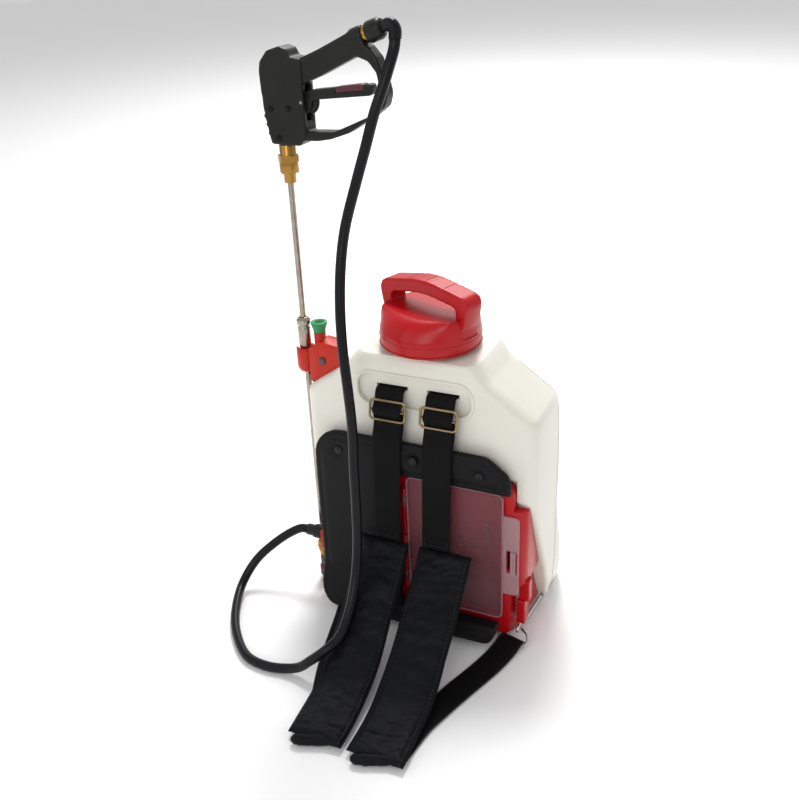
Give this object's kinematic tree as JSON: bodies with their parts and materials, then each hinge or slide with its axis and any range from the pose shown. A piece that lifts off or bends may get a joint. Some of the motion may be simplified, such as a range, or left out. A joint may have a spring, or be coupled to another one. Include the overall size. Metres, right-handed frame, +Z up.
{
  "type": "backpack sprayer",
  "caption": "Battery backpack sprayer: blow-moulded tank with screw lid, base with a battery door, padded straps, hose and a lance with a trigger gun parked in a side holder.",
  "frame": {"origin": "on the ground, under the middle of the base's skid", "axes": "+Z up, -Y towards the wearer's back, +X to the side without the lance"},
  "size_m": [0.4374, 0.4585, 0.7993],
  "materials": {
    "tank_plastic": "satin, slightly translucent",
    "red_plastic": "semi-gloss",
    "dark_red_plastic": "satin",
    "green_plastic": "satin",
    "clear_door": "translucent smoke pink",
    "black_plastic": "satin",
    "black_rubber": "matt",
    "strap_fabric": "woven",
    "brass": "machined",
    "bronze_steel": "antique bronze plating",
    "steel": "bright",
    "grey_plastic": "satin"
  },
  "bodies": {
    "frame": {"tank_shell": "tank_plastic", "filler_strainer": "grey_plastic", "base_housing": "red_plastic", "base_foot_1": "black_rubber", "base_foot_2": "black_rubber", "base_foot_3": "black_rubber", "base_foot_4": "black_rubber", "battery_pack": "grey_plastic", "pump_head": "black_plastic", "pump_motor": "steel", "outlet_fitting": "brass", "hose_nut": "black_plastic", "door_hinge_pin": "red_plastic", "back_pad": "strap_fabric", "pad_rivet_1": "black_plastic", "pad_rivet_2": "black_plastic", "pad_rivet_3": "black_plastic", "upper_webbing_left": "strap_fabric", "upper_webbing_right": "strap_fabric", "buckle_left": "bronze_steel", "buckle_right": "bronze_steel", "shoulder_pad_left": "strap_fabric", "shoulder_pad_right": "strap_fabric", "lower_webbing_left": "strap_fabric", "lower_webbing_right": "strap_fabric", "strap_ring_left": "steel", "strap_ring_right": "steel", "strap_hook_left": "steel", "strap_hook_right": "steel", "wand_holder": "red_plastic", "holder_screw": "steel", "hose": "black_rubber"},
    "lid_seal": {"lid_gasket": "black_rubber"},
    "lid": {"lid": "red_plastic"},
    "spare": {"spare_nozzle": "green_plastic"},
    "lance": {"gun_body": "black_plastic", "trigger_pin": "steel", "inlet_fitting": "brass", "swivel_nut": "black_plastic", "hose_elbow": "black_rubber", "lance_nut": "brass", "lance_tube": "steel", "lance_coupler": "steel", "extension_tube": "steel", "nozzle_nut": "brass"},
    "trigger": {"trigger": "black_plastic"},
    "catch": {"safety_catch": "dark_red_plastic"},
    "nozzle": {"nozzle_tip": "dark_red_plastic"},
    "door": {"battery_door": "clear_door"},
    "latch": {"door_latch": "clear_door"},
    "switch": {"power_switch": "black_plastic"},
    "dial": {"pressure_knob": "black_plastic"},
    "socket_cap": {"charge_socket_cap": "black_rubber"}
  },
  "joints": [
    {"name": "lid_lift", "type": "slide", "parent": "frame", "child": "lid_seal", "axis": [0, 0, 1], "range_m": [0, 0.04]},
    {"name": "lid_turn", "type": "hinge", "parent": "lid_seal", "child": "lid", "pos_m": [-0.002, -0.018, 0.42], "axis": [0, 0, 1], "range_deg": [0, 905]},
    {"name": "spare_pull", "type": "slide", "parent": "frame", "child": "spare", "axis": [0, 0, 1], "range_m": [0, 0.02]},
    {"name": "lance_lift", "type": "slide", "parent": "frame", "child": "lance", "axis": [0, 0, 1], "range_m": [0, 0.045], "deforming": ["hose"]},
    {"name": "trigger_pull", "type": "hinge", "parent": "lance", "child": "trigger", "pos_m": [-0.143, -0.047, 0.706], "axis": [0, -1, 0], "range_deg": [0, 10], "stiffness_Nm_per_rad": 1, "springref_deg": -5.73},
    {"name": "catch_flip", "type": "hinge", "parent": "trigger", "child": "catch", "pos_m": [-0.0962, -0.047, 0.7205], "axis": [0, -1, 0], "range_deg": [0, 10]},
    {"name": "nozzle_twist", "type": "hinge", "parent": "lance", "child": "nozzle", "pos_m": [-0.1745, -0.047, 0.02], "axis": [0, 0, 1], "range_deg": [0, 360]},
    {"name": "door_swing", "type": "hinge", "parent": "frame", "child": "door", "pos_m": [-0.018, -0.088, 0.137], "axis": [0, 0, -1], "range_deg": [0, 8]},
    {"name": "latch_slide", "type": "slide", "parent": "door", "child": "latch", "axis": [1, 0, 0], "range_m": [0, 0.003], "stiffness_N_per_m": 300, "springref_m": -0.001},
    {"name": "switch_rock", "type": "hinge", "parent": "frame", "child": "switch", "pos_m": [-0.156, -0.061, 0.12], "axis": [0, 1, 0], "range_deg": [0, 8]},
    {"name": "dial_turn", "type": "hinge", "parent": "frame", "child": "dial", "pos_m": [-0.15, -0.062, 0.05], "axis": [-1, 0, 0], "range_deg": [0, 270]},
    {"name": "cap_pull", "type": "slide", "parent": "frame", "child": "socket_cap", "axis": [-1, 0, 0], "range_m": [0, 0.007]}
  ],
  "couplings": [
    {"joint": "lid_turn", "follows": "lid_lift", "rad_per_m": 392.7}
  ]
}
